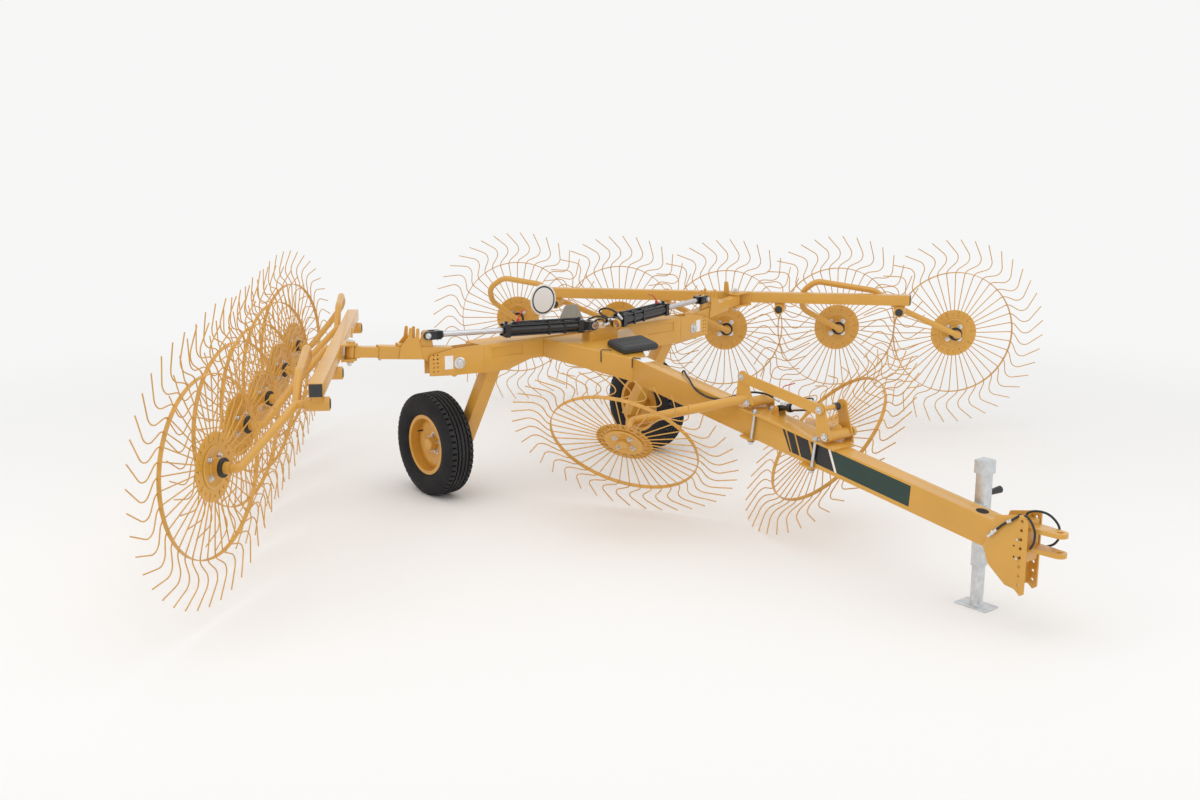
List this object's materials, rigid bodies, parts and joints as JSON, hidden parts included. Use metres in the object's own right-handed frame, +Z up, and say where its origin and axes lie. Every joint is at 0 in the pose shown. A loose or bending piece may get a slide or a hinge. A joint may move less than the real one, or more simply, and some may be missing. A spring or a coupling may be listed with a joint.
{
  "type": "wheel rake",
  "caption": "Carted V wheel rake with tined rake wheels on two beams, telescopic lift arms, two kicker wheels, a hitch clevis and a jack.",
  "frame": {"origin": "on the ground, midway along and across the machine as it stands with both rake beams open", "axes": "+X forward to the hitch, +Y to the machine's left, +Z up"},
  "size_m": [6.2828, 7.1702, 1.5182],
  "materials": {
    "paint": "satin ochre paint",
    "tyre": "matt black",
    "chrome": "polished",
    "black_metal": "gloss black paint",
    "galvanised": "zinc plated",
    "black_plastic": "grained",
    "sign_white": "white sheet with a black rim",
    "aluminium": "bare sheet"
  },
  "bodies": {
    "frame": {"cross_frame": "paint", "tongue_gusset": "paint", "tongue": "paint", "frame_leg_left": "paint", "frame_leg_right": "paint", "arm_bracket_left": "paint", "arm_bracket_right": "paint", "cylinder_tower": "paint", "kicker_mount": "paint", "hitch_head": "paint", "hitch_clevis": "paint", "jack_tube": "galvanised", "manual_box": "black_plastic", "speed_sign": "sign_white", "rear_marker": "aluminium"},
    "jack_stand": {"jack_leg": "galvanised"},
    "ground_wheel_left": {"tyre_left": "tyre", "rim_left": "paint"},
    "lift_arm_left": {"arm_sleeve_left": "paint"},
    "extending_arm_left": {"arm_tube_left": "paint"},
    "rake_left": {"rake_beam_left": "paint", "beam_yoke_left": "paint", "rocker_front_left": "paint", "rocker_rear_left": "paint", "float_arm_left": "paint"},
    "rake_rotor_left_1": {"rake_wheel_left_1": "paint"},
    "rake_rotor_left_2": {"rake_wheel_left_2": "paint"},
    "rake_rotor_left_3": {"rake_wheel_left_3": "paint"},
    "rake_rotor_left_4": {"rake_wheel_left_4": "paint"},
    "rake_rotor_left_5": {"rake_wheel_left_5": "paint"},
    "lift_cylinder_left": {"lift_barrel_left": "black_metal"},
    "lift_piston_left": {"lift_rod_left": "chrome"},
    "ground_wheel_right": {"tyre_right": "tyre", "rim_right": "paint"},
    "lift_arm_right": {"arm_sleeve_right": "paint"},
    "extending_arm_right": {"arm_tube_right": "paint"},
    "rake_right": {"rake_beam_right": "paint", "beam_yoke_right": "paint", "rocker_front_right": "paint", "rocker_rear_right": "paint", "float_arm_right": "paint"},
    "rake_rotor_right_1": {"rake_wheel_right_1": "paint"},
    "rake_rotor_right_2": {"rake_wheel_right_2": "paint"},
    "rake_rotor_right_3": {"rake_wheel_right_3": "paint"},
    "rake_rotor_right_4": {"rake_wheel_right_4": "paint"},
    "rake_rotor_right_5": {"rake_wheel_right_5": "paint"},
    "lift_cylinder_right": {"lift_barrel_right": "black_metal"},
    "lift_piston_right": {"lift_rod_right": "chrome"},
    "kicker_rear": {"kicker_arm_right": "paint"},
    "kicker_front": {"kicker_arm_left": "paint"},
    "kicker_bar": {"kicker_link": "paint"},
    "kicker_cylinder": {"kicker_barrel": "black_metal"},
    "kicker_piston": {"kicker_rod": "chrome"},
    "kicker_rotor_right": {"kicker_wheel_right": "paint"},
    "kicker_rotor_left": {"kicker_wheel_left": "paint"}
  },
  "joints": [
    {"name": "jack_lift", "type": "slide", "parent": "frame", "child": "jack_stand", "axis": [0, 0, 1], "range_m": [0, 0.2]},
    {"name": "ground_wheel_left_spin", "type": "hinge", "parent": "frame", "child": "ground_wheel_left", "pos_m": [-0.946, 0.934, 0.343], "axis": [0, 1, 0], "continuous": true},
    {"name": "lift_left", "type": "hinge", "parent": "frame", "child": "lift_arm_left", "pos_m": [-0.57807, 0.98994, 0.958], "axis": [0.9703, 0.2419, 0], "range_deg": [-2, 60]},
    {"name": "extend_left", "type": "slide", "parent": "lift_arm_left", "child": "extending_arm_left", "axis": [-0.2409, 0.9663, 0.0906], "range_m": [-0.08, 0.12]},
    {"name": "rake_angle_left", "type": "hinge", "parent": "extending_arm_left", "child": "rake_left", "pos_m": [-0.7426, 1.64983, 1.07612], "axis": [0.0219, -0.0879, 0.9959], "range_deg": [-10, 10]},
    {"name": "rake_spin_left_1", "type": "hinge", "parent": "rake_left", "child": "rake_rotor_left_1", "pos_m": [0.27503, 2.99289, 0.808], "axis": [-0.809, 0.5878, 0], "continuous": true},
    {"name": "rake_spin_left_2", "type": "hinge", "parent": "rake_left", "child": "rake_rotor_left_2", "pos_m": [-0.46875, 2.50413, 0.808], "axis": [-0.809, 0.5878, 0], "continuous": true},
    {"name": "rake_spin_left_3", "type": "hinge", "parent": "rake_left", "child": "rake_rotor_left_3", "pos_m": [-1.21253, 2.01537, 0.755], "axis": [-0.809, 0.5878, 0], "continuous": true},
    {"name": "rake_spin_left_4", "type": "hinge", "parent": "rake_left", "child": "rake_rotor_left_4", "pos_m": [-1.95632, 1.52661, 0.755], "axis": [-0.809, 0.5878, 0], "continuous": true},
    {"name": "rake_spin_left_5", "type": "hinge", "parent": "rake_left", "child": "rake_rotor_left_5", "pos_m": [-2.7001, 1.03785, 0.755], "axis": [-0.809, 0.5878, 0], "continuous": true},
    {"name": "lift_cylinder_swing_left", "type": "hinge", "parent": "frame", "child": "lift_cylinder_left", "pos_m": [-0.35333, 0.08854, 1.125], "axis": [0.9703, 0.2419, 0], "range_deg": [-0.72, 7.06]},
    {"name": "lift_stroke_left", "type": "slide", "parent": "lift_cylinder_left", "child": "lift_piston_left", "axis": [-0.2419, 0.9702, 0.0159], "range_m": [-0.24547, 0.01108]},
    {"name": "ground_wheel_right_spin", "type": "hinge", "parent": "frame", "child": "ground_wheel_right", "pos_m": [-0.946, -0.934, 0.343], "axis": [0, 1, 0], "continuous": true},
    {"name": "lift_right", "type": "hinge", "parent": "frame", "child": "lift_arm_right", "pos_m": [-0.57807, -0.98994, 0.958], "axis": [-0.9703, 0.2419, 0], "range_deg": [-2, 60]},
    {"name": "extend_right", "type": "slide", "parent": "lift_arm_right", "child": "extending_arm_right", "axis": [-0.2409, -0.9663, 0.0906], "range_m": [-0.08, 0.12]},
    {"name": "rake_angle_right", "type": "hinge", "parent": "extending_arm_right", "child": "rake_right", "pos_m": [-0.7426, -1.64983, 1.07612], "axis": [-0.0219, -0.0879, -0.9959], "range_deg": [-10, 10]},
    {"name": "rake_spin_right_1", "type": "hinge", "parent": "rake_right", "child": "rake_rotor_right_1", "pos_m": [0.27503, -2.99289, 0.808], "axis": [0.809, 0.5878, 0], "continuous": true},
    {"name": "rake_spin_right_2", "type": "hinge", "parent": "rake_right", "child": "rake_rotor_right_2", "pos_m": [-0.46875, -2.50413, 0.808], "axis": [0.809, 0.5878, 0], "continuous": true},
    {"name": "rake_spin_right_3", "type": "hinge", "parent": "rake_right", "child": "rake_rotor_right_3", "pos_m": [-1.21253, -2.01537, 0.755], "axis": [0.809, 0.5878, 0], "continuous": true},
    {"name": "rake_spin_right_4", "type": "hinge", "parent": "rake_right", "child": "rake_rotor_right_4", "pos_m": [-1.95632, -1.52661, 0.755], "axis": [0.809, 0.5878, 0], "continuous": true},
    {"name": "rake_spin_right_5", "type": "hinge", "parent": "rake_right", "child": "rake_rotor_right_5", "pos_m": [-2.7001, -1.03785, 0.755], "axis": [0.809, 0.5878, 0], "continuous": true},
    {"name": "lift_cylinder_swing_right", "type": "hinge", "parent": "frame", "child": "lift_cylinder_right", "pos_m": [-0.35333, -0.08854, 1.125], "axis": [-0.9703, 0.2419, 0], "range_deg": [-0.72, 7.06]},
    {"name": "lift_stroke_right", "type": "slide", "parent": "lift_cylinder_right", "child": "lift_piston_right", "axis": [-0.2419, -0.9702, 0.0159], "range_m": [-0.24547, 0.01108]},
    {"name": "kicker_lift", "type": "hinge", "parent": "frame", "child": "kicker_rear", "pos_m": [1.087, 0, 0.851], "axis": [0, 1, 0], "range_deg": [0, 35]},
    {"name": "kicker_front_lift", "type": "hinge", "parent": "frame", "child": "kicker_front", "pos_m": [1.685, 0, 0.763], "axis": [0, 1, 0], "range_deg": [-0.5, 35.5]},
    {"name": "kicker_link_turn", "type": "hinge", "parent": "kicker_rear", "child": "kicker_bar", "pos_m": [1.046, 0, 0.999], "axis": [0, 1, 0], "range_deg": [-35.5, 0.5]},
    {"name": "kicker_cylinder_swing", "type": "hinge", "parent": "frame", "child": "kicker_cylinder", "pos_m": [1.218, 0.05, 0.823], "axis": [0, 1, 0], "range_deg": [-0.5, 2.41]},
    {"name": "kicker_stroke", "type": "slide", "parent": "kicker_cylinder", "child": "kicker_piston", "axis": [0.9793, 0, 0.2023], "range_m": [-0.003, 0.09379]},
    {"name": "kicker_spin_right", "type": "hinge", "parent": "kicker_rear", "child": "kicker_rotor_right", "pos_m": [0.455, -0.48, 0.56], "axis": [0.3488, -0.6677, -0.6577], "continuous": true},
    {"name": "kicker_spin_left", "type": "hinge", "parent": "kicker_front", "child": "kicker_rotor_left", "pos_m": [1.144, 0.547, 0.56], "axis": [0.3488, 0.6677, -0.6577], "continuous": true}
  ],
  "couplings": [
    {"joint": "lift_cylinder_swing_left", "follows": "lift_left", "ratio": 0.10938},
    {"joint": "lift_stroke_left", "follows": "lift_left", "m_per_rad": -0.23154},
    {"joint": "lift_cylinder_swing_right", "follows": "lift_right", "ratio": 0.10938},
    {"joint": "lift_stroke_right", "follows": "lift_right", "m_per_rad": -0.23154},
    {"joint": "kicker_front_lift", "follows": "kicker_lift", "ratio": 1},
    {"joint": "kicker_link_turn", "follows": "kicker_lift", "ratio": -1},
    {"joint": "kicker_cylinder_swing", "follows": "kicker_lift", "ratio": 0.05469},
    {"joint": "kicker_stroke", "follows": "kicker_lift", "m_per_rad": 0.14863}
  ]
}
